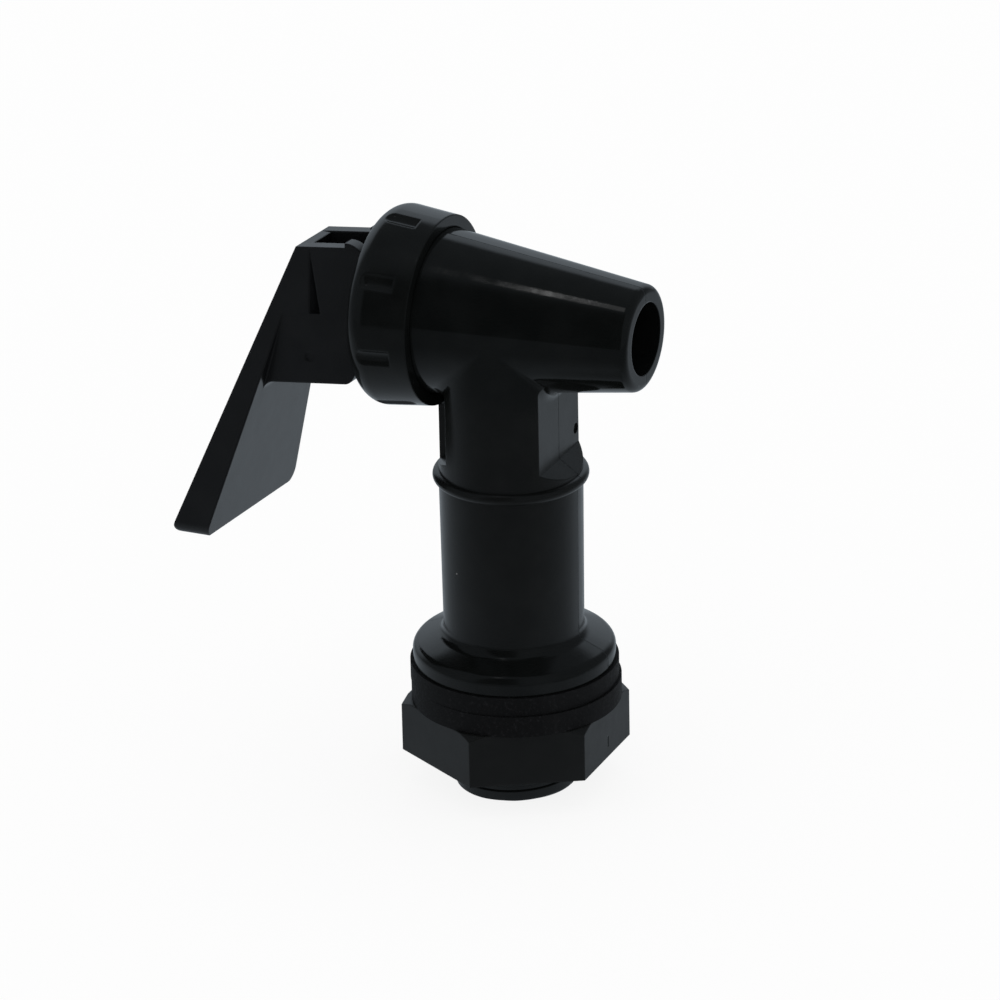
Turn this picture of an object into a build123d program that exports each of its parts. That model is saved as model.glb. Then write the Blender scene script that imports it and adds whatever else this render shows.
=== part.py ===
"""Beverage dispensing faucet: a moulded body on a threaded shank, closed by a spring-loaded seat cup.

Millimetres. The origin is the centre of the shank's threaded end, +Z runs up the shank and +X along the spout.
"""

import math
import os

from build123d import *

# Shank, from the threaded end upwards
thread_radius = 11.1
thread_length = 24.3
thread_chamfer = 0.3
flange_radius = 18.57
flange_side = 3.3
flange_rise = 2.4
flange_rim_round = 1.8
flange_foot_round = 2.0
tube_foot_radius = 12.85
tube_top_radius = 13.1
tube_length = 29.6
bead_height = 2.2
bead_proud = 1.1
neck_radius = 13.1
neck_length = 28.5
shank_bore_radius = 7.6
neck_bore_radius = 6.0

# Neck flats and the rib behind them
front_flat = 9.55
back_flat = 8.2
back_rib_thickness = 3.0
back_rib_reach = 13.4
flat_foot_rise = 0.4
flat_ramp_height = 2.5
flat_mark_radius = 1.0
flat_mark_depth = 0.35
flat_mark_side = 7.6
flat_mark_height = 5.9

# Barrel and spout, measured along the barrel from the shank's axis
barrel_overhang = 0.224
barrel_taper = 7.925
spout_length = 26.75
spout_end_round = 1.5
spout_bore_radius = 6.675
barrel_wall = 2.12
seat_distance = 7.2
neck_fillet = 2.0

# Bonnet, the screw cap behind the barrel
bonnet_rim_wall = 2.15
bonnet_flare = 1.4
bonnet_front = 12.4
bonnet_length = 12.25
bonnet_end_wall = 2.4
bonnet_edge_round = 3.8
bonnet_thread_clearance = 0.15
bonnet_rim_clearance = 0.3
grip_count = 8
grip_radius = 2.4
grip_depth = 0.65
grip_front_inset = 0.6
grip_back_inset = 2.0
grip_first_angle = 191.5

# Valve: stem, seat cup and spring
stem_radius = 3.6
stem_clearance = 0.1
stem_collar_radius = 6.4
stem_collar_thickness = 2.2
stem_neck_radius = 2.8
stem_neck_length = 2.4
stem_button_radius = 4.8
stem_button_length = 4.0
cup_fit = 0.1
cup_wall = 1.3
cup_collar_clearance = 0.6
cup_brim = 1.8
cup_brim_clearance = 0.3
seat_gap = 0.05
spring_wire_radius = 0.5
spring_wire_sides = 8
spring_mean_radius = 5.2
spring_turns = 4

# Lever handle, in its own plane: across from the pivot, up from the barrel's axis, and sideways
handle_swivel = -4.33
cam_gap = 0.25
cam_reach = 8.1
cam_lift_per_radian = 7.7
cam_travel = 28.0
cam_steps = 6
cam_toe_round = 2.0
cheek_gap = 8.0
cheek_width = 14.0
block_width = 19.2
block_top = -0.9
block_foot_round = 2.5
lever_lean = 6.0
lever_top = 10.32
lobe_height = 12.2
lobe_round = 3.8
lobe_step = 0.3
paddle_setback = 5.72
paddle_outer_lean = 20.14
paddle_inner_lean = 15.13
paddle_root_thickness = 2.0
paddle_drop = 43.8
paddle_end_half_width = 18.75
paddle_corner_round = 2.4
paddle_outer_round = 1.5
paddle_inner_round = 0.5
gusset_reach = 3.0
gusset_foot_reach = 1.9
gusset_ramp = 2.0
swell_foot = 0.4
block_mark_radius = 0.9
block_mark_depth = 0.3
block_mark_across = -1.7
block_mark_up = -9.2
pin_radius = 1.5
pin_clearance = 0.06
pin_hold = 2.0

# Washers and nut, stacked below the flange
upper_washer_radius = 19.1
lower_washer_radius = 19.26
washer_bore_clearance = 0.5
upper_washer_thickness = 3.6
lower_washer_thickness = 4.0
lower_washer_shift = 0.3
nut_across_corners = 42.0
nut_height = 10.0
nut_corner_chamfer = 1.3
nut_chamfer_angle = 35.0
nut_thread_clearance = 0.1

# Heights and places that follow
flange_z = thread_length
tube_z = flange_z + flange_side + flange_rise
bead_z = tube_z + tube_length
neck_z = bead_z + bead_height
axis_z = neck_z + neck_length
bonnet_front_x = -bonnet_front
bonnet_back_x = bonnet_front_x - bonnet_length
bonnet_floor_x = bonnet_back_x + bonnet_end_wall
barrel_rear_x = bonnet_floor_x + cup_brim
barrel_slope = math.tan(math.radians(barrel_taper))
barrel_middle_radius = neck_radius + barrel_overhang
barrel_rear_radius = barrel_middle_radius + barrel_slope * bonnet_front
spout_end_radius = barrel_middle_radius - barrel_slope * spout_length
chamber_rear_radius = barrel_rear_radius - barrel_wall
chamber_seat_radius = barrel_middle_radius - barrel_slope * seat_distance - barrel_wall
bonnet_bore_radius = barrel_rear_radius + bonnet_thread_clearance
bonnet_front_radius = bonnet_bore_radius + bonnet_rim_wall
bonnet_back_radius = bonnet_front_radius + bonnet_flare
seat_throat_x = seat_distance + chamber_seat_radius - spout_bore_radius
pivot_x = bonnet_back_x - cam_gap - cam_reach

barrel_axis = Axis((0, 0, axis_z), (1, 0, 0))
barrel_plane = Plane(origin=(0, 0, axis_z), x_dir=(1, 0, 0), z_dir=(0, -1, 0))
swivel = math.radians(handle_swivel)
handle_plane = Plane(
    origin=(pivot_x, 0, axis_z),
    x_dir=(1, 0, 0),
    z_dir=(0, -math.cos(swivel), -math.sin(swivel)),
)

os.makedirs("parts", exist_ok=True)

# Body: shank, neck, barrel and spout in one moulding
with BuildPart() as body:
    # Shank with its flange, tube and bead, turned about the shank's axis
    with BuildSketch(Plane.XZ):
        with BuildLine():
            FilletPolyline(
                (0, 0),
                (thread_radius - thread_chamfer, 0),
                (thread_radius, thread_chamfer),
                (thread_radius, flange_z),
                (flange_radius, flange_z),
                (flange_radius, flange_z + flange_side),
                (tube_foot_radius, tube_z),
                (tube_top_radius, bead_z),
                radius=[0, 0, 0, 0, flange_rim_round, flange_foot_round],
            )
            ThreePointArc(
                (tube_top_radius, bead_z),
                (tube_top_radius + bead_proud, bead_z + bead_height / 2),
                (neck_radius, neck_z),
            )
            Polyline((neck_radius, neck_z), (neck_radius, axis_z), (0, axis_z), (0, 0))
        make_face()
    revolve(axis=Axis.Z)

    # Flat with a ramp at its foot, on the spout's side
    flat_foot_z = neck_z + flat_foot_rise + flat_ramp_height
    ramp_end_z = flat_foot_z - 2 * flat_ramp_height
    with BuildSketch(Plane.XZ):
        Polygon(
            (front_flat, flat_foot_z),
            (2 * neck_radius - front_flat, ramp_end_z),
            (2 * neck_radius, axis_z),
            (front_flat, axis_z),
            align=None,
        )
    extrude(amount=2 * neck_radius, both=True, mode=Mode.SUBTRACT)

    # Two flats with the rib between them, on the bonnet's side
    for side in (1, -1):
        with BuildSketch(Plane.XZ.offset(side * back_rib_thickness / 2)):
            Polygon(
                (-back_flat, flat_foot_z),
                (back_flat - 2 * neck_radius, ramp_end_z),
                (-2 * neck_radius, axis_z),
                (-back_flat, axis_z),
                align=None,
            )
        extrude(amount=side * 2 * neck_radius, mode=Mode.SUBTRACT)

    # The rib itself, a little prouder than the neck, rising out of the bead
    rib_z = neck_z - bead_height / 2
    with BuildSketch(Plane.XY.offset(rib_z)):
        with Locations((-back_rib_reach / 2, 0)):
            Rectangle(back_rib_reach, back_rib_thickness)
    extrude(amount=axis_z - rib_z)

    # Small round moulding mark on the spout-side flat
    with BuildSketch(Plane.YZ.offset(front_flat)):
        with Locations((flat_mark_side, neck_z + flat_mark_height)):
            Circle(flat_mark_radius)
    extrude(amount=-flat_mark_depth, mode=Mode.SUBTRACT)

    # Room for the bonnet's skirt to turn above the rib
    skirt_room_x = bonnet_front_x + bonnet_rim_clearance
    with BuildSketch(barrel_plane):
        Polygon(
            (skirt_room_x, 0),
            (skirt_room_x, bonnet_front_radius + bonnet_rim_clearance),
            (bonnet_back_x, bonnet_back_radius + bonnet_rim_clearance),
            (bonnet_back_x, 0),
            align=None,
        )
    revolve(axis=barrel_axis, mode=Mode.SUBTRACT)

    # Barrel with the collar that carries the bonnet, and the tapered spout
    with BuildSketch(barrel_plane):
        with BuildLine():
            FilletPolyline(
                (barrel_rear_x, 0),
                (barrel_rear_x, barrel_rear_radius),
                (bonnet_front_x, barrel_rear_radius),
                (spout_length, spout_end_radius),
                (spout_length, 0),
                radius=[0, 0, spout_end_round],
            )
            Line((spout_length, 0), (barrel_rear_x, 0))
        make_face()
    revolve(axis=barrel_axis)
    joint_margin = neck_fillet / 2
    neck_joint = body.edges(Select.NEW).filter_by_position(
        Axis.X, -back_flat - joint_margin, front_flat + joint_margin
    )
    fillet(neck_joint, radius=neck_fillet)

    # Valve chamber, conical seat and spout bore
    with BuildSketch(barrel_plane):
        Polygon(
            (barrel_rear_x, 0),
            (barrel_rear_x, chamber_rear_radius),
            (seat_distance, chamber_seat_radius),
            (seat_throat_x, spout_bore_radius),
            (spout_length, spout_bore_radius),
            (spout_length, 0),
            align=None,
        )
    revolve(axis=barrel_axis, mode=Mode.SUBTRACT)

    # Inlet bore up the shank, narrower inside the neck
    bore_step = shank_bore_radius - neck_bore_radius
    with BuildSketch(Plane.XZ):
        Polygon(
            (0, 0),
            (shank_bore_radius, 0),
            (shank_bore_radius, bead_z - bore_step),
            (neck_bore_radius, bead_z),
            (neck_bore_radius, axis_z),
            (0, axis_z),
            align=None,
        )
    revolve(axis=Axis.Z, mode=Mode.SUBTRACT)
body.part.label = "body"
export_step(body.part, "parts/body.step")

# Bonnet: screw cap that closes the barrel and guides the stem
with BuildPart() as bonnet:
    with BuildSketch(barrel_plane):
        with BuildLine():
            FilletPolyline(
                (bonnet_back_x, stem_radius + stem_clearance),
                (bonnet_back_x, bonnet_back_radius),
                (bonnet_front_x, bonnet_front_radius),
                (bonnet_front_x, bonnet_bore_radius),
                (bonnet_floor_x, bonnet_bore_radius),
                (bonnet_floor_x, stem_radius + stem_clearance),
                radius=[bonnet_edge_round, 0, 0, 0],
            )
            Line(
                (bonnet_floor_x, stem_radius + stem_clearance),
                (bonnet_back_x, stem_radius + stem_clearance),
            )
        make_face()
    revolve(axis=barrel_axis)

    # Rounded grip recesses around the tapered skirt, clear of both rims
    skirt_slope = (bonnet_back_radius - bonnet_front_radius) / bonnet_length
    grip_length = bonnet_length - grip_front_inset - grip_back_inset - 2 * grip_radius
    grip_start_x = bonnet_back_x + grip_back_inset + grip_radius
    grip_start_radius = bonnet_back_radius - skirt_slope * (grip_start_x - bonnet_back_x)
    grip_orbit = grip_start_radius + grip_radius - grip_depth
    for grip in range(grip_count):
        grip_angle = math.radians(grip_first_angle + grip * 360 / grip_count)
        outward = Vector(0, math.cos(grip_angle), math.sin(grip_angle))
        grip_plane = Plane(
            origin=Vector(grip_start_x, 0, axis_z) + outward * grip_orbit,
            x_dir=outward + Vector(skirt_slope, 0, 0),
            z_dir=Vector(1, 0, 0) - outward * skirt_slope,
        )
        with BuildSketch(grip_plane):
            Circle(grip_radius)
        extrude(amount=grip_length, mode=Mode.SUBTRACT)
        with Locations(grip_plane, grip_plane.offset(grip_length)):
            Sphere(grip_radius, mode=Mode.SUBTRACT)
bonnet.part.label = "bonnet"
export_step(bonnet.part, "parts/bonnet.step")

# Stem: collar for the spring, and a button that the seat cup snaps over
cup_nose_gap = seat_gap * math.sqrt(2)
cup_outer_radius = stem_collar_radius + cup_collar_clearance + cup_wall
cup_nose_x = seat_throat_x - cup_nose_gap
stem_button_x = cup_nose_x - cup_wall - stem_button_length
stem_collar_x = stem_button_x - stem_neck_length - stem_collar_thickness
stem_head_x = pivot_x - stem_radius
with BuildPart() as stem:
    with BuildSketch(barrel_plane):
        with BuildLine():
            Polyline(
                (pivot_x, stem_radius),
                (stem_collar_x, stem_radius),
                (stem_collar_x, stem_collar_radius),
                (stem_collar_x + stem_collar_thickness, stem_collar_radius),
                (stem_collar_x + stem_collar_thickness, stem_neck_radius),
                (stem_button_x, stem_neck_radius),
                (stem_button_x, stem_button_radius),
                (stem_button_x + stem_button_length, stem_neck_radius),
                (stem_button_x + stem_button_length, 0),
                (stem_head_x, 0),
            )
            RadiusArc((stem_head_x, 0), (pivot_x, stem_radius), stem_radius)
        make_face()
    revolve(axis=barrel_axis)
    with BuildSketch(handle_plane):
        Circle(pin_radius)
    extrude(amount=2 * stem_radius, both=True, mode=Mode.SUBTRACT)
stem.part.label = "stem"
export_step(stem.part, "parts/stem.step")

# Seat cup: soft thimble, its brim held by the bonnet and its nose on the seat
cup_inner_radius = cup_outer_radius - cup_wall
cup_shoulder_x = seat_throat_x + spout_bore_radius - cup_outer_radius - cup_nose_gap
cup_nose_radius = cup_outer_radius - (cup_nose_x - cup_shoulder_x)
with BuildPart() as seat_cup:
    with BuildSketch(barrel_plane):
        Polygon(
            (bonnet_floor_x, cup_inner_radius),
            (bonnet_floor_x, bonnet_bore_radius - cup_brim_clearance),
            (barrel_rear_x, bonnet_bore_radius - cup_brim_clearance),
            (barrel_rear_x, cup_outer_radius),
            (cup_shoulder_x, cup_outer_radius),
            (cup_nose_x, cup_nose_radius),
            (cup_nose_x, 0),
            (stem_button_x + stem_button_length + cup_fit, 0),
            (stem_button_x + stem_button_length + cup_fit, stem_neck_radius + cup_fit),
            (stem_button_x, stem_button_radius + 2 * cup_fit),
            (stem_button_x - cup_fit, stem_button_radius + 2 * cup_fit),
            (stem_button_x - cup_fit, stem_neck_radius + cup_fit),
            (stem_collar_x + stem_collar_thickness + cup_fit, stem_neck_radius + cup_fit),
            (stem_collar_x + stem_collar_thickness + cup_fit, cup_inner_radius),
            align=None,
        )
    revolve(axis=barrel_axis)
seat_cup.part.label = "seat_cup"
export_step(seat_cup.part, "parts/seat_cup.step")

# Spring: pushes the stem's collar away from the bonnet, onto the seat
spring_length = stem_collar_x - bonnet_floor_x - 2 * spring_wire_radius
with BuildPart() as spring:
    with BuildLine() as coil:
        Helix(
            pitch=spring_length / spring_turns,
            height=spring_length,
            radius=spring_mean_radius,
            center=(bonnet_floor_x + spring_wire_radius, 0, axis_z),
            direction=(1, 0, 0),
        )
    with BuildSketch(Plane(origin=coil.line @ 0, z_dir=coil.line % 0)):
        RegularPolygon(spring_wire_radius, spring_wire_sides)
    sweep()
spring.part.label = "spring"
export_step(spring.part, "parts/spring.step")

# Handle: cheeks with a cam toe that lifts the stem at a steady rate, and the paddle
lever_slope = math.tan(math.radians(lever_lean))
inner_slope = math.tan(math.radians(paddle_inner_lean))
outer_slope = math.tan(math.radians(paddle_outer_lean))
inner_top = paddle_root_thickness - paddle_setback
cam_angle = math.radians(cam_travel)
bottom_lean = math.radians(90 - lever_lean)


def paddle_outer(up):
    """Place of the paddle's outer face at a height."""
    return (up - lever_top) * outer_slope - paddle_setback


def paddle_inner(up):
    """Place of the paddle's inner face at a height."""
    return (up - lever_top) * inner_slope + inner_top


def paddle_half_width(up):
    """Half the paddle's width at a height."""
    share = (lever_top - up) / (lever_top + paddle_drop)
    return cheek_width / 2 + share * (paddle_end_half_width - cheek_width / 2)


def top_edge(across):
    """Height of the cheeks' top edge."""
    return lever_top + (across + paddle_setback) * lever_slope


def block_edge(across):
    """Height of the step where the wider cam block starts."""
    return block_top + across * lever_slope


def cam_point(angle):
    """Point of the cam toe whose normal leans down by the angle: an involute, so the lift is even."""
    reach = cam_reach + cam_lift_per_radian * angle
    across = reach * math.cos(angle) - cam_lift_per_radian * math.sin(angle)
    down = reach * math.sin(angle) + cam_lift_per_radian * math.cos(angle)
    return (across, -down)


# Side outline of a cheek: top edge, upper lobe, flat cam face, involute toe and bottom edge
lobe_start = cam_reach - lobe_round - lobe_step
lobe_centre = (cam_reach - lobe_round, lobe_height - lobe_round)
toe_start = cam_point(cam_angle)
toe_centre = (
    toe_start[0] - cam_toe_round * math.cos(cam_angle),
    toe_start[1] + cam_toe_round * math.sin(cam_angle),
)
toe_end = (
    toe_centre[0] + cam_toe_round * math.cos(bottom_lean),
    toe_centre[1] - cam_toe_round * math.sin(bottom_lean),
)
foot_up = (toe_end[1] + (inner_top - lever_top * inner_slope - toe_end[0]) * lever_slope) / (
    1 - inner_slope * lever_slope
)
foot_end_up = foot_up - 2 * block_foot_round
with BuildSketch() as cheek_outline:
    with BuildLine():
        Polyline(
            (paddle_outer(foot_end_up), foot_end_up),
            (paddle_outer(lever_top), lever_top),
            (lobe_start, top_edge(lobe_start)),
            (lobe_start, lobe_height),
            (lobe_centre[0], lobe_height),
        )
        CenterArc(lobe_centre, lobe_round, 90, -90)
        Line((cam_reach, lobe_centre[1]), cam_point(0))
        Spline(
            *[cam_point(cam_angle * step / cam_steps) for step in range(cam_steps + 1)],
            tangents=[(0, -1), (-math.sin(cam_angle), -math.cos(cam_angle))],
        )
        CenterArc(toe_centre, cam_toe_round, -cam_travel, cam_travel + lever_lean - 90)
        FilletPolyline(
            toe_end,
            (paddle_inner(foot_up), foot_up),
            (paddle_inner(foot_end_up), foot_end_up),
            (paddle_outer(foot_end_up), foot_end_up),
            radius=[block_foot_round, 0],
        )
    make_face()

# Corners of the slanted step between the gusset and the narrower cheek, in the handle's frame
gusset_corners = [
    handle_plane.from_local_coords(Vector(across, up, side))
    for across, up, side in (
        (-gusset_reach, lever_top, cheek_width / 2),
        (-gusset_foot_reach, block_top, paddle_half_width(block_top)),
        (gusset_ramp - gusset_foot_reach, block_top, cheek_width / 2),
    )
]
gusset_step = Plane(
    origin=gusset_corners[0],
    x_dir=gusset_corners[2] - gusset_corners[0],
    z_dir=(gusset_corners[1] - gusset_corners[0]).cross(gusset_corners[2] - gusset_corners[0]),
)
paddle_plane = Plane(origin=handle_plane.origin, x_dir=handle_plane.z_dir, z_dir=(-1, 0, 0))

# Slope that brings a cheek out to the cam block, cut back to leave a groove beside the gusset
swell_lean = (gusset_reach + swell_foot) / (lever_top - block_top)
swell_above = 2 * lobe_height
swell_reach = 4 * cam_reach
with BuildPart() as cheek_swell:
    with BuildSketch(handle_plane.offset(cheek_width / 2)):
        add(cheek_outline.sketch)
        Polygon(
            (swell_foot - (swell_above - block_top) * swell_lean, swell_above),
            (swell_foot + (swell_above + block_top) * swell_lean, -swell_above),
            (-swell_reach, -swell_above),
            (-swell_reach, swell_above),
            align=None,
            mode=Mode.SUBTRACT,
        )
    extrude(amount=(block_width - cheek_width) / 2)
    with BuildSketch(paddle_plane):
        Polygon(
            (cheek_width / 2, lever_top),
            (block_width / 2, block_top),
            (block_width / 2, -swell_above),
            (cheek_width / 2, -swell_above),
            align=None,
        )
    extrude(amount=swell_reach, both=True, mode=Mode.INTERSECT)

with BuildPart() as handle:
    # Gusset beside one cheek, cut back by the slanted step
    gusset_end = gusset_ramp - gusset_foot_reach
    with BuildSketch(handle_plane.offset(cheek_gap / 2)):
        Polygon(
            (paddle_outer(lever_top), lever_top),
            (gusset_end, top_edge(gusset_end)),
            (gusset_end, block_edge(gusset_end)),
            (paddle_outer(block_top), block_edge(paddle_outer(block_top))),
            align=None,
        )
    extrude(amount=(block_width - cheek_gap) / 2)
    split(bisect_by=gusset_step, keep=Keep.BOTTOM)

    # Half of the paddle, a wedge that thickens and widens towards its end
    with BuildSketch(handle_plane):
        with BuildLine():
            FilletPolyline(
                (paddle_inner(lever_top), lever_top),
                (paddle_inner(-paddle_drop), -paddle_drop),
                (paddle_outer(-paddle_drop), -paddle_drop),
                (paddle_outer(lever_top), lever_top),
                radius=[paddle_inner_round, paddle_outer_round],
            )
            Line((paddle_outer(lever_top), lever_top), (paddle_inner(lever_top), lever_top))
        make_face()
    extrude(amount=2 * paddle_end_half_width)
    above = 2 * lever_top
    with BuildSketch(paddle_plane):
        with BuildLine():
            FilletPolyline(
                (0, above),
                (paddle_half_width(above), above),
                (paddle_end_half_width, -paddle_drop),
                (0, -paddle_drop),
                radius=[0, paddle_corner_round],
            )
            Line((0, -paddle_drop), (0, above))
        make_face()
    extrude(amount=4 * paddle_drop, both=True, mode=Mode.INTERSECT)

    # Cheek, and the wider cam block below its step
    with BuildSketch(handle_plane.offset(cheek_gap / 2)):
        add(cheek_outline.sketch)
    extrude(amount=(cheek_width - cheek_gap) / 2)
    with BuildSketch(handle_plane.offset(cheek_width / 2)):
        add(cheek_outline.sketch)
        Polygon(
            (-2 * cam_reach, block_edge(-2 * cam_reach)),
            (2 * cam_reach, block_edge(2 * cam_reach)),
            (2 * cam_reach, 2 * lobe_height),
            (-2 * cam_reach, 2 * lobe_height),
            align=None,
            mode=Mode.SUBTRACT,
        )
    extrude(amount=(block_width - cheek_width) / 2)
    add(cheek_swell.part)
    mirror(about=handle_plane)

    # Blind sockets for the pin, and a small moulding mark on one block
    with BuildSketch(handle_plane):
        Circle(pin_radius + pin_clearance)
    extrude(amount=cheek_gap / 2 + pin_hold + pin_clearance, both=True, mode=Mode.SUBTRACT)
    with BuildSketch(handle_plane.offset(block_width / 2)):
        with Locations((block_mark_across, block_mark_up)):
            Circle(block_mark_radius)
    extrude(amount=-block_mark_depth, mode=Mode.SUBTRACT)
handle.part.label = "handle"
export_step(handle.part, "parts/handle.step")

# Pivot pin: held in the stem's head, its ends in the handle's sockets
with BuildPart() as pivot_pin:
    with BuildSketch(handle_plane):
        Circle(pin_radius)
    extrude(amount=cheek_gap / 2 + pin_hold, both=True)
pivot_pin.part.label = "pivot_pin"
export_step(pivot_pin.part, "parts/pivot_pin.step")

# Sealing washers below the flange, the lower one a little off centre
upper_washer_z = flange_z - upper_washer_thickness
lower_washer_z = upper_washer_z - lower_washer_thickness
washer_bore_radius = thread_radius + washer_bore_clearance
with BuildPart() as upper_washer:
    with BuildSketch(Plane.XY.offset(upper_washer_z)):
        Circle(upper_washer_radius)
        Circle(washer_bore_radius, mode=Mode.SUBTRACT)
    extrude(amount=upper_washer_thickness)
upper_washer.part.label = "upper_washer"
export_step(upper_washer.part, "parts/upper_washer.step")

with BuildPart() as lower_washer:
    with BuildSketch(Plane.XY.offset(lower_washer_z)):
        with Locations((lower_washer_shift, 0)):
            Circle(lower_washer_radius)
            Circle(washer_bore_radius, mode=Mode.SUBTRACT)
    extrude(amount=lower_washer_thickness)
lower_washer.part.label = "lower_washer"
export_step(lower_washer.part, "parts/lower_washer.step")

# Hexagon nut, its corners to the sides of the spout and chamfered towards the washers
nut_z = lower_washer_z - nut_height
nut_corner_radius = nut_across_corners / 2
nut_cone_drop = (nut_corner_radius + nut_corner_chamfer) * math.tan(math.radians(nut_chamfer_angle))
with BuildPart() as hex_nut:
    with BuildSketch(Plane.XY.offset(nut_z)):
        RegularPolygon(radius=nut_corner_radius, side_count=6, rotation=30)
    extrude(amount=nut_height)
    with BuildSketch(Plane.XZ):
        Polygon(
            (thread_radius + nut_thread_clearance, nut_z),
            (2 * nut_corner_radius, nut_z),
            (2 * nut_corner_radius, lower_washer_z - nut_cone_drop),
            (nut_corner_radius - nut_corner_chamfer, lower_washer_z),
            (thread_radius + nut_thread_clearance, lower_washer_z),
            align=None,
        )
    revolve(axis=Axis.Z, mode=Mode.INTERSECT)
hex_nut.part.label = "hex_nut"
export_step(hex_nut.part, "parts/hex_nut.step")
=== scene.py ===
"""Looks of a black moulded beverage faucet in a plain white studio.

All lengths are metres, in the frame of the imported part.
"""

import math

import bpy
from mathutils import Matrix, Vector


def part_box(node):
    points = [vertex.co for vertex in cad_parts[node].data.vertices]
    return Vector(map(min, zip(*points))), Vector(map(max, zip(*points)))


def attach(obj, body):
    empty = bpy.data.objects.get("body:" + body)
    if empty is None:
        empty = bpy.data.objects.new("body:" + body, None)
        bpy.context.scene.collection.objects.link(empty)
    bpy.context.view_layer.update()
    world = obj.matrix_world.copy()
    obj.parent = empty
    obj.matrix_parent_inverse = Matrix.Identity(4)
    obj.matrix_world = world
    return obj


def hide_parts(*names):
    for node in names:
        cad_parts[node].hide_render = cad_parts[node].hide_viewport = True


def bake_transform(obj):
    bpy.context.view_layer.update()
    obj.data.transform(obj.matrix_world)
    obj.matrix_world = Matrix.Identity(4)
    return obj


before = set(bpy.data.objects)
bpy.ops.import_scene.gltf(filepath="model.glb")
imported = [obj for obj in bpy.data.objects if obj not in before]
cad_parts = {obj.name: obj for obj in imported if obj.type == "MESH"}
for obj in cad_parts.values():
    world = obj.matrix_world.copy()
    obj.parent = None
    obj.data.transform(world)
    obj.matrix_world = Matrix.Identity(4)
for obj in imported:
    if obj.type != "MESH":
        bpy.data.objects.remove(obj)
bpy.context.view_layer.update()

MM = 0.001

# Places read from the frame
nut_low, nut_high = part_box("hex_nut")
bonnet_low, bonnet_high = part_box("bonnet")
flange_foot_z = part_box("upper_washer")[1].z
barrel_axis_z = (bonnet_low.z + bonnet_high.z) / 2

# Camera, fitted to the photograph's round edges
VIEW_AZIMUTH = 24.274
VIEW_ELEVATION = 23.239
VIEW_ROLL = -1.211
VIEW_DISTANCE = 1201.778 * MM
VIEW_RIGHT = 3.157 * MM
VIEW_UP = -50.612 * MM
FOCAL_IN_FRAMES = 6.520077
SENSOR = 36.0
CLIP_START = 0.01
CLIP_END = 20.0

# Shank thread at the exposed end
THREAD_RADIUS = 11.1 * MM
THREAD_PITCH = 2.82 * MM
THREAD_CREST = 0.32 * MM
THREAD_CREST_WIDTH = 1.7 * MM
THREAD_FOOT_WIDTH = 2.2 * MM
THREAD_START_ANGLE = 190.0
THREAD_START_Z = 0.3 * MM
THREAD_STEPS = 96
THREAD_TAPER_STEPS = 16

# Colours
BLACK = (0.0022, 0.0026, 0.0025, 1.0)
BLACK_WORN = (0.0034, 0.0039, 0.0038, 1.0)
HANDLE_BLACK = (0.0036, 0.004, 0.0046, 1.0)
HANDLE_WORN = (0.0048, 0.0053, 0.006, 1.0)
SPECK = (0.12, 0.12, 0.12, 1.0)
RUBBER = (0.0015, 0.0017, 0.0023, 1.0)
RUBBER_SPECK = (0.006, 0.0066, 0.0084, 1.0)
STEEL = (0.52, 0.52, 0.53, 1.0)
SILICONE = (0.03, 0.03, 0.032, 1.0)
WHITE = (1.0, 1.0, 1.0, 1.0)

# Ranges that several finishes share: the middle of a noise, and a fade from full to nothing
NOISE_RANGE = (0.3, 0.7)
FADE_OUT = (1.0, 0.0)

# Sockets of the colour mix node, which has the same names once for each type of value
MIX_FIRST = 6
MIX_SECOND = 7
MIX_RESULT = 2

# Roughness of each plastic piece, and the width over which its edges look rounded
BODY_ROUGHNESS = 0.23
BODY_EDGE = 0.3 * MM
BONNET_ROUGHNESS = 0.13
BONNET_EDGE = 0.5 * MM
HANDLE_ROUGHNESS = 0.23
HANDLE_EDGE = 0.5 * MM
NUT_ROUGHNESS = 0.36
NUT_EDGE = 0.4 * MM
STEM_ROUGHNESS = 0.23
STEM_EDGE = 0.2 * MM
EDGE_SAMPLES = 6

# Skin of the black plastic
PLASTIC_IOR = 1.5
DUST_SCALE = 170.0
DUST_FADE = (0.02, 0.035)
DUST_RARITY = 0.93
MOTTLE_SCALE = 160.0
MOTTLE_DETAIL = 4.0
MOTTLE_RANGE = (0.35, 0.75)
UNEVEN_SCALE = 420.0
UNEVEN_ROUGHNESS = (-0.03, 0.03)
WAVE_SCALE = 90.0
WAVE_DETAIL = 1.0
WAVE_HEIGHT = 0.06 * MM
SKIN_SCALE = 900.0
SKIN_DETAIL = 2.0
SKIN_HEIGHT = 0.02 * MM
SKIN_STRENGTH = 0.25

# Gloss that the body gains on the barrel, from below its axis, and on the flange
BARREL_FADE_LOW = 16 * MM
BARREL_FADE_HIGH = 7 * MM
BARREL_GLOSS = -0.15
FLANGE_FADE_LOW = 5 * MM
FLANGE_FADE_HIGH = 9 * MM
FLANGE_GLOSS = -0.09

# Seam of the body, and other fine grooves, with painted shade that turns their reflection down
SEAM_FADE = (0.06 * MM, 0.14 * MM)
SEAM_DEPTH = 0.15 * MM
SEAM_STRENGTH = 0.7
SEAM_SHADE_SPECULAR = (0.5, 0.1)

# Short upright mark on the nut's face towards the spout, a groove with painted shade
MARK_SIDE = 0.35 * MM
MARK_HEIGHT = 9.8 * MM
MARK_SIDE_FADE = (0.2 * MM, 0.4 * MM)
MARK_END_FADE = (0.9 * MM, 1.2 * MM)
MARK_FACE_DEPTH = 0.5 * MM

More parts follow.
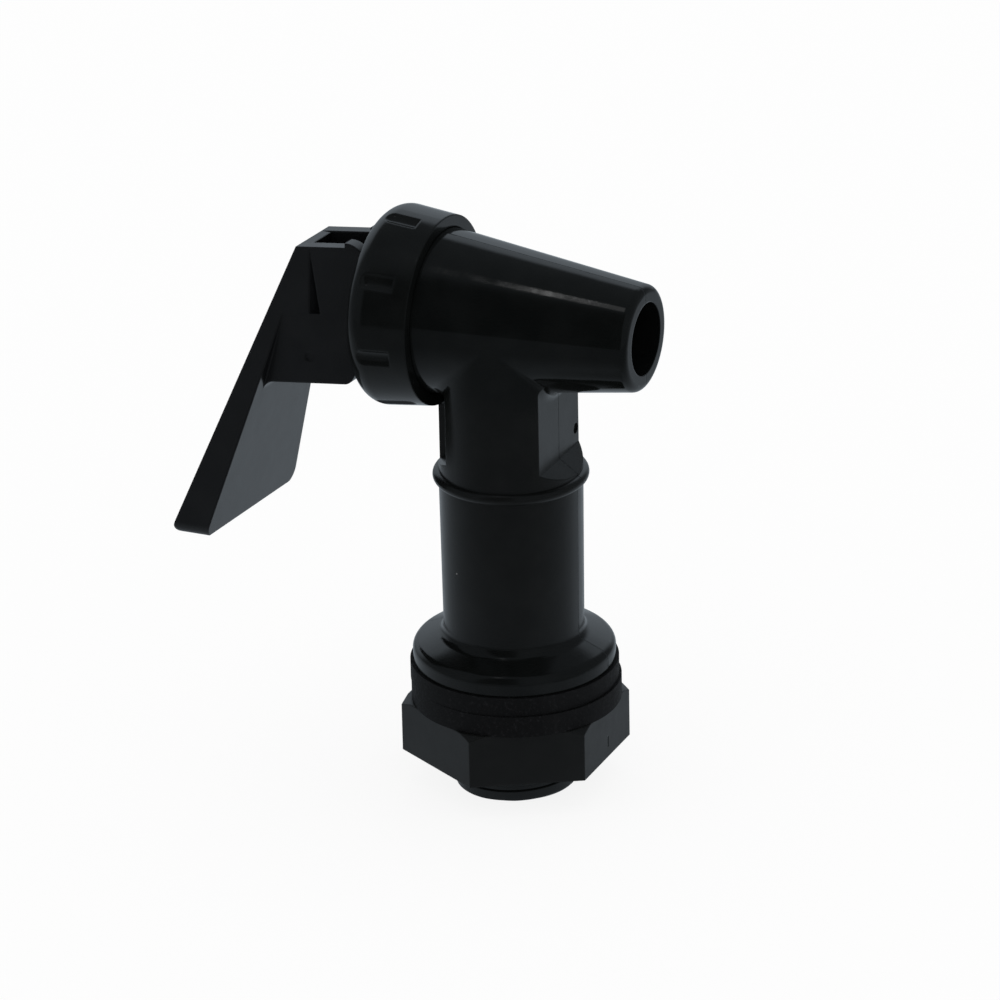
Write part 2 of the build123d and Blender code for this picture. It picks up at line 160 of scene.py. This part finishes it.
# Rubber of the washers
GRAIN_SCALE = 1500.0
GRAIN_DETAIL = 4.0
GRAIN_ROUGHNESS = 0.7
GRAIN_TINT_RANGE = (0.5, 0.72)
GRAIN_HEIGHT = 0.1 * MM
GRAIN_STRENGTH = 0.5
RUBBER_ROUGHNESS = (0.6, 0.8)
RUBBER_SPECULAR = 0.3

# Steel of spring and pin, and silicone of the seat cup
STREAK_SCALE = 2500.0
STREAK_DETAIL = 2.0
STEEL_ROUGHNESS = (0.22, 0.38)
CLOUD_SCALE = 300.0
SILICONE_ROUGHNESS = (0.5, 0.65)

# Room that reflections see: angles from straight behind the part, levels, and cosine and height ranges
ROOM_COLOUR = (0.8, 0.905, 1.0, 1.0)
ROOM_LEVEL = 0.12
DARK_SIDE = -160.0
DARK_LEVEL = 0.018
DARK_EDGE = (0.87, 0.965)
DARK_TOP = (0.9, 0.96)
PANEL_SIDE = -9.0
PANEL_LEVEL = 0.5
PANEL_EDGE = (0.56, 0.866)
PANEL_FOOT = (0.0, 0.35)
PANEL_FOOT_SHARE = 0.5
PANEL_TOP = (0.6, 0.73)

# Floor, the pool of light that reflections see on it, and the shade at the part's foot
FLOOR_SIZE = 1.6
FLOOR_COLOUR = (0.9, 0.9, 0.9, 1.0)
FLOOR_GLOW_SHARE = 0.87
FLOOR_LEVEL = 0.088
POOL_LEVEL = 0.4
POOL_FRONT = -140 * MM
POOL_BACK = 120 * MM
POOL_RIGHT = 10 * MM
POOL_HALF_WIDTH = 30 * MM
POOL_REACH = 330 * MM
POOL_SIDE_SHARE = 0.15
FOOT_FRONT = 45 * MM
FOOT_CORE = 5 * MM
FOOT_REACH = 40 * MM
FOOT_SHARE = 0.5

# Lamps overhead
STRIP_PLACE = (-0.0825, -0.187, 0.88)
STRIP_SIZE = (0.025, 0.136)
STRIP_WATTS = 0.005
KEY_PLACE = (-0.0985, -0.1775, 0.87)
KEY_SIZE = (0.006, 0.13)
KEY_WATTS = 0.011


def view_axes():
    """Right, up and backward directions of the photograph's camera."""
    azimuth = math.radians(VIEW_AZIMUTH)
    elevation = math.radians(VIEW_ELEVATION)
    roll = math.radians(VIEW_ROLL)
    right = Vector((math.cos(azimuth), math.sin(azimuth), 0))
    back = Vector((
        math.sin(azimuth) * math.cos(elevation),
        -math.cos(azimuth) * math.cos(elevation),
        math.sin(elevation),
    ))
    up = back.cross(right)
    rolled_right = math.cos(roll) * right + math.sin(roll) * up
    rolled_up = math.cos(roll) * up - math.sin(roll) * right
    return rolled_right, rolled_up, back


def level_axes():
    """Level directions straight behind the part and to its right, as the photograph's camera sees them."""
    right, _, front = view_axes()
    behind = -Vector((front.x, front.y, 0)).normalized()
    return behind, Vector((right.x, right.y, 0)).normalized()


def side_axis(degrees):
    """Level direction at an angle from straight behind the part, positive to the right."""
    behind, beside = level_axes()
    angle = math.radians(degrees)
    return behind * math.cos(angle) + beside * math.sin(angle)


def add_object(name, data):
    """New object in the scene."""
    added = bpy.data.objects.new(name, data)
    bpy.context.scene.collection.objects.link(added)
    return added


def add_camera():
    """Camera at the photograph's viewing angle."""
    right, up, back = view_axes()
    place = back * VIEW_DISTANCE - right * VIEW_RIGHT - up * VIEW_UP
    data = bpy.data.cameras.new("camera")
    data.sensor_width = SENSOR
    data.lens = SENSOR * FOCAL_IN_FRAMES
    data.clip_start = CLIP_START
    data.clip_end = CLIP_END
    camera = add_object("camera", data)
    camera.matrix_world = Matrix((
        (right.x, up.x, back.x, place.x),
        (right.y, up.y, back.y, place.y),
        (right.z, up.z, back.z, place.z),
        (0, 0, 0, 1),
    ))
    bpy.context.scene.camera = camera


class Nodes:
    """A node tree with short calls for the nodes that the finishes and the studio share."""

    def __init__(self, tree):
        self.tree = tree
        tree.nodes.clear()

    def new(self, kind, **values):
        node = self.tree.nodes.new(kind)
        for name, value in values.items():
            setattr(node, name, value)
        return node

    def link(self, source, target):
        self.tree.links.new(source, target)

    def feed(self, socket, value):
        """Joins a socket to an output, or sets it to a number or colour."""
        if isinstance(value, bpy.types.NodeSocket):
            self.link(value, socket)
        else:
            socket.default_value = value

    def math(self, operation, first, second=0.0):
        node = self.new("ShaderNodeMath", operation=operation)
        self.feed(node.inputs[0], first)
        self.feed(node.inputs[1], second)
        return node.outputs[0]

    def vector_math(self, operation, first, second, result="Vector"):
        """A calculation on an output and a fixed vector."""
        node = self.new("ShaderNodeVectorMath", operation=operation)
        self.link(first, node.inputs[0])
        node.inputs[1].default_value = second
        return node.outputs[result]

    def dot(self, vector, axis):
        return self.vector_math("DOT_PRODUCT", vector, axis, "Value")

    def ramp(self, value, low, high, out_low=0.0, out_high=1.0, smooth=True):
        node = self.new("ShaderNodeMapRange")
        node.interpolation_type = "SMOOTHSTEP" if smooth else "LINEAR"
        self.feed(node.inputs["Value"], value)
        node.inputs["From Min"].default_value = low
        node.inputs["From Max"].default_value = high
        node.inputs["To Min"].default_value = out_low
        node.inputs["To Max"].default_value = out_high
        return node.outputs["Result"]

    def noise(self, vector, scale, detail=3.0, roughness=0.5):
        node = self.new("ShaderNodeTexNoise")
        self.link(vector, node.inputs["Vector"])
        node.inputs["Scale"].default_value = scale
        node.inputs["Detail"].default_value = detail
        node.inputs["Roughness"].default_value = roughness
        return node.outputs["Fac"]

    def mix_colour(self, factor, first, second):
        node = self.new("ShaderNodeMix", data_type="RGBA")
        self.link(factor, node.inputs["Factor"])
        self.feed(node.inputs[MIX_FIRST], first)
        self.feed(node.inputs[MIX_SECOND], second)
        return node.outputs[MIX_RESULT]

    def place(self):
        """Position in the part's frame, in metres."""
        return self.new("ShaderNodeTexCoord").outputs["Object"]

    def place_xyz(self):
        """The same position as x, y and z."""
        split = self.new("ShaderNodeSeparateXYZ")
        self.link(self.place(), split.inputs[0])
        return tuple(split.outputs)

    def bump(self, height, distance, strength=1.0, normal=None):
        node = self.new("ShaderNodeBump")
        node.inputs["Strength"].default_value = strength
        node.inputs["Distance"].default_value = distance
        self.link(height, node.inputs["Height"])
        if normal is not None:
            self.link(normal, node.inputs["Normal"])
        return node.outputs["Normal"]

    def mix_shader(self, factor, first, second):
        node = self.new("ShaderNodeMixShader")
        self.feed(node.inputs[0], factor)
        self.link(first, node.inputs[1])
        self.link(second, node.inputs[2])
        return node.outputs[0]

    def glow(self, kind, colour, strength=1.0):
        """Light of one colour, from an emission or a background node."""
        node = self.new(kind)
        node.inputs["Color"].default_value = colour
        self.feed(node.inputs["Strength"], strength)
        return node.outputs[0]

    def split_rays(self, seen, mirrored):
        """One shader for glossy rays and another for all the rest."""
        rays = self.new("ShaderNodeLightPath")
        return self.mix_shader(rays.outputs["Is Glossy Ray"], seen, mirrored)


def new_material(name):
    """A material with its nodes and one plain shader joined to its output."""
    material = bpy.data.materials.new(name)
    material.use_nodes = True
    nodes = Nodes(material.node_tree)
    output = nodes.new("ShaderNodeOutputMaterial")
    shader = nodes.new("ShaderNodeBsdfPrincipled")
    nodes.link(shader.outputs[0], output.inputs["Surface"])
    return material, nodes, shader


def dust(nodes, vector):
    """Very sparse pale specks, as on handled plastic."""
    cells = nodes.new("ShaderNodeTexVoronoi", feature="F1")
    nodes.link(vector, cells.inputs["Vector"])
    cells.inputs["Scale"].default_value = DUST_SCALE
    near = nodes.ramp(cells.outputs["Distance"], *DUST_FADE, *FADE_OUT)
    chosen = nodes.new("ShaderNodeSeparateColor")
    nodes.link(cells.outputs["Color"], chosen.inputs[0])
    few = nodes.math("GREATER_THAN", chosen.outputs[0], DUST_RARITY)
    return nodes.math("MULTIPLY", near, few)


def finish_plastic(nodes, shader, roughness, edge, seam=None, colours=(BLACK, BLACK_WORN)):
    """Black plastic: faint mottling, soft edges, a wavy skin, dust specks and, where given, a seam grooved
    by a bump, with painted shade that turns its reflection down.
    """
    vector = nodes.place()
    mottle = nodes.noise(vector, MOTTLE_SCALE, MOTTLE_DETAIL)
    tint = nodes.mix_colour(nodes.ramp(mottle, *MOTTLE_RANGE), *colours)
    tint = nodes.mix_colour(dust(nodes, vector), tint, SPECK)
    patches = nodes.noise(vector, UNEVEN_SCALE)
    uneven = nodes.ramp(patches, *NOISE_RANGE, *UNEVEN_ROUGHNESS, smooth=False)
    soft = nodes.new("ShaderNodeBevel", samples=EDGE_SAMPLES)
    soft.inputs["Radius"].default_value = edge
    wave = nodes.noise(vector, WAVE_SCALE, WAVE_DETAIL)
    normal = nodes.bump(wave, WAVE_HEIGHT, normal=soft.outputs[0])
    skin = nodes.noise(vector, SKIN_SCALE, SKIN_DETAIL)
    normal = nodes.bump(skin, SKIN_HEIGHT, SKIN_STRENGTH, normal)
    if seam is not None:
        groove = nodes.math("MULTIPLY", seam, -1.0)
        normal = nodes.bump(groove, SEAM_DEPTH, SEAM_STRENGTH, normal)
        # Painted shade: the reflection is turned down along the seam, standing in for the shade in its
        # groove
        nodes.link(nodes.ramp(seam, 0.0, 1.0, *SEAM_SHADE_SPECULAR), shader.inputs["Specular IOR Level"])
    nodes.link(tint, shader.inputs["Base Color"])
    nodes.link(nodes.math("ADD", roughness, uneven), shader.inputs["Roughness"])
    nodes.link(normal, shader.inputs["Normal"])
    shader.inputs["IOR"].default_value = PLASTIC_IOR


def body_plastic():
    """Glossy on the barrel, satin down the neck and tube, half gloss on the flange."""
    material, nodes, shader = new_material("body_plastic")
    _, y, z = nodes.place_xyz()
    barrel_start = barrel_axis_z - BARREL_FADE_LOW
    barrel_end = barrel_axis_z - BARREL_FADE_HIGH
    barrel = nodes.ramp(z, barrel_start, barrel_end, 0.0, BARREL_GLOSS)
    flange_start = flange_foot_z + FLANGE_FADE_LOW
    flange_end = flange_foot_z + FLANGE_FADE_HIGH
    flange = nodes.ramp(z, flange_start, flange_end, FLANGE_GLOSS, 0.0)
    gloss = nodes.math("ADD", barrel, flange)
    # Seam along the parting line: a bump groove with painted shade in it
    seam = nodes.ramp(nodes.math("ABSOLUTE", y), *SEAM_FADE, *FADE_OUT)
    finish_plastic(nodes, shader, nodes.math("ADD", gloss, BODY_ROUGHNESS), BODY_EDGE, seam)
    return material


def nut_plastic():
    """Satin plastic with one short upright mark on the face towards the spout, grooved by a bump, with
    painted shade that turns its reflection down.
    """
    material, nodes, shader = new_material("nut_plastic")
    x, y, z = nodes.place_xyz()
    face = nodes.math("GREATER_THAN", x, nut_high.x - MARK_FACE_DEPTH)
    beside = nodes.math("ABSOLUTE", nodes.math("SUBTRACT", y, MARK_SIDE))
    along = nodes.math("ABSOLUTE", nodes.math("SUBTRACT", z, MARK_HEIGHT))
    thin = nodes.ramp(beside, *MARK_SIDE_FADE, *FADE_OUT)
    short = nodes.ramp(along, *MARK_END_FADE, *FADE_OUT)
    # Mark: a short groove with painted shade, by the same path as the body's seam
    mark = nodes.math("MULTIPLY", nodes.math("MULTIPLY", thin, short), face)
    finish_plastic(nodes, shader, NUT_ROUGHNESS, NUT_EDGE, mark)
    return material


def plain_plastic(name, roughness, edge, colours=(BLACK, BLACK_WORN)):
    """The same black plastic at one roughness."""
    material, nodes, shader = new_material(name)
    finish_plastic(nodes, shader, roughness, edge, colours=colours)
    return material


def washer_rubber():
    """Matte rubber with a fine pale speckle."""
    material, nodes, shader = new_material("washer_rubber")
    grain = nodes.noise(nodes.place(), GRAIN_SCALE, GRAIN_DETAIL, GRAIN_ROUGHNESS)
    tint = nodes.mix_colour(nodes.ramp(grain, *GRAIN_TINT_RANGE), RUBBER, RUBBER_SPECK)
    nodes.link(tint, shader.inputs["Base Color"])
    nodes.link(nodes.ramp(grain, *NOISE_RANGE, *RUBBER_ROUGHNESS), shader.inputs["Roughness"])
    nodes.link(nodes.bump(grain, GRAIN_HEIGHT, GRAIN_STRENGTH), shader.inputs["Normal"])
    shader.inputs["Specular IOR Level"].default_value = RUBBER_SPECULAR
    return material


def spring_steel(name):
    """Drawn steel with an uneven sheen."""
    material, nodes, shader = new_material(name)
    streak = nodes.noise(nodes.place(), STREAK_SCALE, STREAK_DETAIL)
    shader.inputs["Base Color"].default_value = STEEL
    shader.inputs["Metallic"].default_value = 1.0
    nodes.link(nodes.ramp(streak, *NOISE_RANGE, *STEEL_ROUGHNESS), shader.inputs["Roughness"])
    return material


def cup_silicone():
    """Soft dull silicone."""
    material, nodes, shader = new_material("cup_silicone")
    cloud = nodes.noise(nodes.place(), CLOUD_SCALE)
    nodes.link(nodes.mix_colour(cloud, SILICONE, RUBBER_SPECK), shader.inputs["Base Color"])
    nodes.link(nodes.ramp(cloud, *NOISE_RANGE, *SILICONE_ROUGHNESS), shader.inputs["Roughness"])
    return material


def dress_nodes():
    """Every CAD node gets its finish."""
    handle_colours = (HANDLE_BLACK, HANDLE_WORN)
    finishes = {
        "body": body_plastic(),
        "bonnet": plain_plastic("bonnet_plastic", BONNET_ROUGHNESS, BONNET_EDGE),
        "handle": plain_plastic("handle_plastic", HANDLE_ROUGHNESS, HANDLE_EDGE, handle_colours),
        "hex_nut": nut_plastic(),
        "upper_washer": washer_rubber(),
        "stem": plain_plastic("stem_plastic", STEM_ROUGHNESS, STEM_EDGE),
        "seat_cup": cup_silicone(),
        "spring": spring_steel("spring_steel"),
        "pivot_pin": spring_steel("pin_steel"),
    }
    finishes["lower_washer"] = finishes["upper_washer"]
    for name, material in finishes.items():
        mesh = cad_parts[name].data
        mesh.materials.clear()
        mesh.materials.append(material)
    return finishes


def add_shortening(name, node):
    """Copy of a springy node, with its placement baked into its points, shown in place of the hidden node.
    """
    piece = add_object(name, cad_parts[node].data.copy())
    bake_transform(piece)
    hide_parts(node)


def add_thread(material):
    """Helical ridge of the shank's exposed thread, running up under the nut."""
    end_z = nut_low.z + THREAD_PITCH / 2
    turns = (end_z - THREAD_START_Z) / THREAD_PITCH
    steps = math.ceil(turns * THREAD_STEPS)
    profile = (
        (-THREAD_FOOT_WIDTH / 2, -THREAD_CREST),
        (-THREAD_FOOT_WIDTH / 2, 0.0),
        (-THREAD_CREST_WIDTH / 2, THREAD_CREST),
        (THREAD_CREST_WIDTH / 2, THREAD_CREST),
        (THREAD_FOOT_WIDTH / 2, 0.0),
        (THREAD_FOOT_WIDTH / 2, -THREAD_CREST),
    )
    points = []
    faces = []
    count = len(profile)
    for step in range(steps + 1):
        angle = math.radians(THREAD_START_ANGLE) + 2 * math.pi * turns * step / steps
        share = min(1.0, step / THREAD_TAPER_STEPS)
        centre_z = THREAD_START_Z + (end_z - THREAD_START_Z) * step / steps
        for along, out in profile:
            radius = THREAD_RADIUS + (out * share if out > 0 else out)
            height = max(centre_z + along, 0.0)
            points.append((radius * math.cos(angle), radius * math.sin(angle), height))
        if step:
            start = step * count
            for corner in range(count):
                after = (corner + 1) % count
                before_side = (start + corner - count, start + after - count)
                this_side = (start + after, start + corner)
                faces.append(before_side + this_side)
    faces.append(tuple(range(count)))
    faces.append(tuple(reversed(range(steps * count, steps * count + count))))
    mesh = bpy.data.meshes.new("shank_thread")
    mesh.from_pydata(points, [], faces)
    mesh.materials.append(material)
    piece = add_object("shank_thread", mesh)
    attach(piece, "housing")


def add_floor():
    """Plain pale floor that reads white and keeps a soft shadow.

    Reflections see a pool of light behind the part instead.
    """
    half = FLOOR_SIZE / 2
    corners = [(-half, -half, 0), (half, -half, 0), (half, half, 0), (-half, half, 0)]
    mesh = bpy.data.meshes.new("floor")
    mesh.from_pydata(corners, [], [(0, 1, 2, 3)])
    floor = add_object("floor", mesh)
    material = bpy.data.materials.new("floor")
    material.use_nodes = True
    nodes = Nodes(material.node_tree)
    output = nodes.new("ShaderNodeOutputMaterial")
    matte = nodes.new("ShaderNodeBsdfDiffuse")
    matte.inputs["Color"].default_value = FLOOR_COLOUR
    white = nodes.glow("ShaderNodeEmission", WHITE)
    shaded = nodes.mix_shader(FLOOR_GLOW_SHARE, matte.outputs[0], white)
    vector = nodes.place()
    behind, beside = level_axes()
    depth = nodes.ramp(nodes.dot(vector, behind), POOL_FRONT, POOL_BACK, 0.0, POOL_LEVEL)
    aside = nodes.math("ABSOLUTE", nodes.math("SUBTRACT", nodes.dot(vector, beside), POOL_RIGHT))
    width = nodes.ramp(aside, POOL_HALF_WIDTH, POOL_REACH, 1.0, POOL_SIDE_SHARE, smooth=False)
    level = nodes.math("ADD", nodes.math("MULTIPLY", depth, width), FLOOR_LEVEL)
    from_foot = nodes.vector_math("DISTANCE", vector, behind * -FOOT_FRONT, "Value")
    shade = nodes.ramp(from_foot, FOOT_CORE, FOOT_REACH, FOOT_SHARE, 1.0)
    mirrored = nodes.glow("ShaderNodeEmission", ROOM_COLOUR, nodes.math("MULTIPLY", level, shade))
    nodes.link(nodes.split_rays(shaded, mirrored), output.inputs["Surface"])
    mesh.materials.append(material)


def add_world():
    """White around the part.

    Reflections see a dim room instead, darkest to the front, with a bright panel behind.
    """
    world = bpy.data.worlds.new("studio")
    bpy.context.scene.world = world
    world.use_nodes = True
    nodes = Nodes(world.node_tree)
    output = nodes.new("ShaderNodeOutputWorld")
    direction = nodes.new("ShaderNodeTexCoord").outputs["Generated"]
    height = nodes.dot(direction, (0.0, 0.0, 1.0))
    level_part = nodes.vector_math("MULTIPLY", direction, (1.0, 1.0, 0.0))
    normalize = nodes.new("ShaderNodeVectorMath", operation="NORMALIZE")
    nodes.link(level_part, normalize.inputs[0])
    heading = normalize.outputs["Vector"]
    dark = nodes.ramp(nodes.dot(heading, side_axis(DARK_SIDE)), *DARK_EDGE)
    dark = nodes.math("MULTIPLY", dark, nodes.ramp(height, *DARK_TOP, *FADE_OUT))
    level = nodes.ramp(dark, 0.0, 1.0, ROOM_LEVEL, DARK_LEVEL, smooth=False)
    panel = nodes.ramp(nodes.dot(heading, side_axis(PANEL_SIDE)), *PANEL_EDGE, 0.0, PANEL_LEVEL)
    panel_foot = nodes.ramp(height, *PANEL_FOOT, PANEL_FOOT_SHARE, 1.0, smooth=False)
    panel = nodes.math("MULTIPLY", panel, panel_foot)
    panel = nodes.math("MULTIPLY", panel, nodes.ramp(height, *PANEL_TOP, *FADE_OUT))
    room = nodes.glow("ShaderNodeBackground", ROOM_COLOUR, nodes.math("ADD", level, panel))
    white = nodes.glow("ShaderNodeBackground", WHITE)
    nodes.link(nodes.split_rays(white, room), output.inputs["Surface"])


def add_softbox(name, place, size, watts):
    """Rectangular soft light overhead that faces straight down."""
    data = bpy.data.lights.new(name, "AREA")
    data.shape = "RECTANGLE"
    data.size, data.size_y = size
    data.energy = watts
    lamp = add_object(name, data)
    lamp.location = place


bpy.context.scene.view_settings.view_transform = "Standard"
add_camera()
finishes = dress_nodes()
add_shortening("sealing_cup", "seat_cup")
add_shortening("return_spring", "spring")
add_thread(finishes["body"])
add_floor()
add_world()
add_softbox("strip_light", STRIP_PLACE, STRIP_SIZE, STRIP_WATTS)
add_softbox("key_light", KEY_PLACE, KEY_SIZE, KEY_WATTS)
